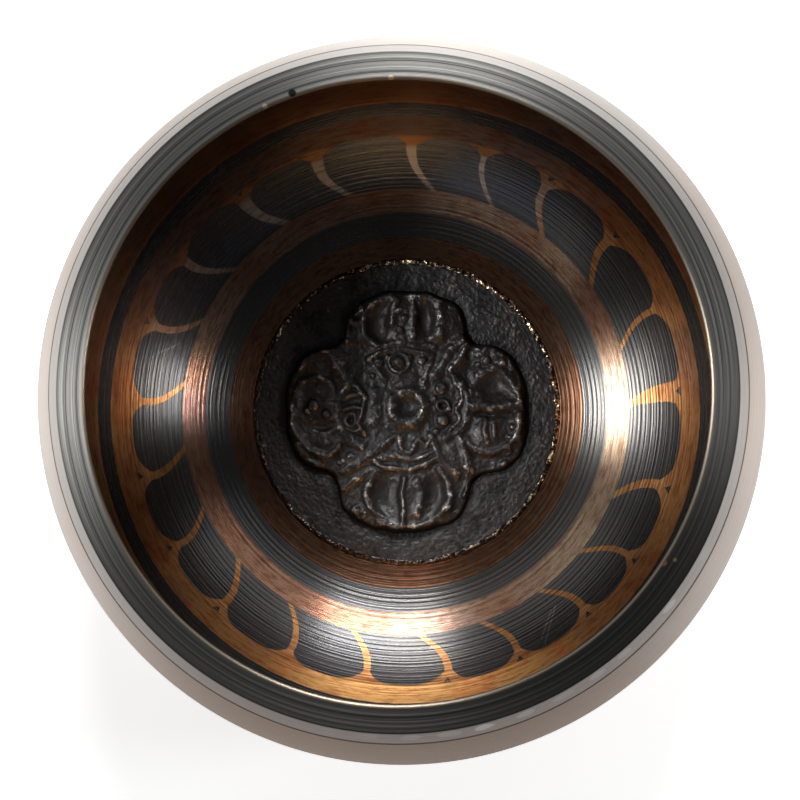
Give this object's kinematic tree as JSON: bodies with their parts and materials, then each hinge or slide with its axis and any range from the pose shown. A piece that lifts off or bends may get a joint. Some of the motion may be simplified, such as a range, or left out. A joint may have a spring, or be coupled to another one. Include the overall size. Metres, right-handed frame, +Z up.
{
  "type": "singing bowl",
  "caption": "Incurved cast metal bowl with a flat lip, a thick wall and a crossed-vajra relief on a round medallion in its floor.",
  "frame": {"origin": "on the bowl's axis, in the plane of the ring that it stands on", "axes": "+Z up along the bowl's axis, out of its mouth; +X and +Y point at two of the four vajra heads on the floor"},
  "size_m": [0.11, 0.11, 0.058],
  "materials": {
    "turned_bronze": "lathe-turned, polished, black and copper bands",
    "cast_bronze": "blackened, rough as cast",
    "burnished_edge": "ragged, burnished bright"
  },
  "bodies": {
    "root": {"bowl_body": "turned_bronze", "floor_medallion": "cast_bronze", "edge_bead": "burnished_edge", "relief_plate": "cast_bronze", "hub_boss": "cast_bronze", "lotus_collar_east": "cast_bronze", "lotus_collar_north": "cast_bronze", "lotus_collar_west": "cast_bronze", "lotus_collar_south": "cast_bronze", "corner_leaf_northeast": "cast_bronze", "corner_leaf_northwest": "cast_bronze", "corner_leaf_southwest": "cast_bronze", "corner_leaf_southeast": "cast_bronze", "vajra_head_east": "cast_bronze", "vajra_head_north": "cast_bronze", "vajra_head_west": "cast_bronze", "vajra_head_south": "cast_bronze"}
  },
  "joints": []
}
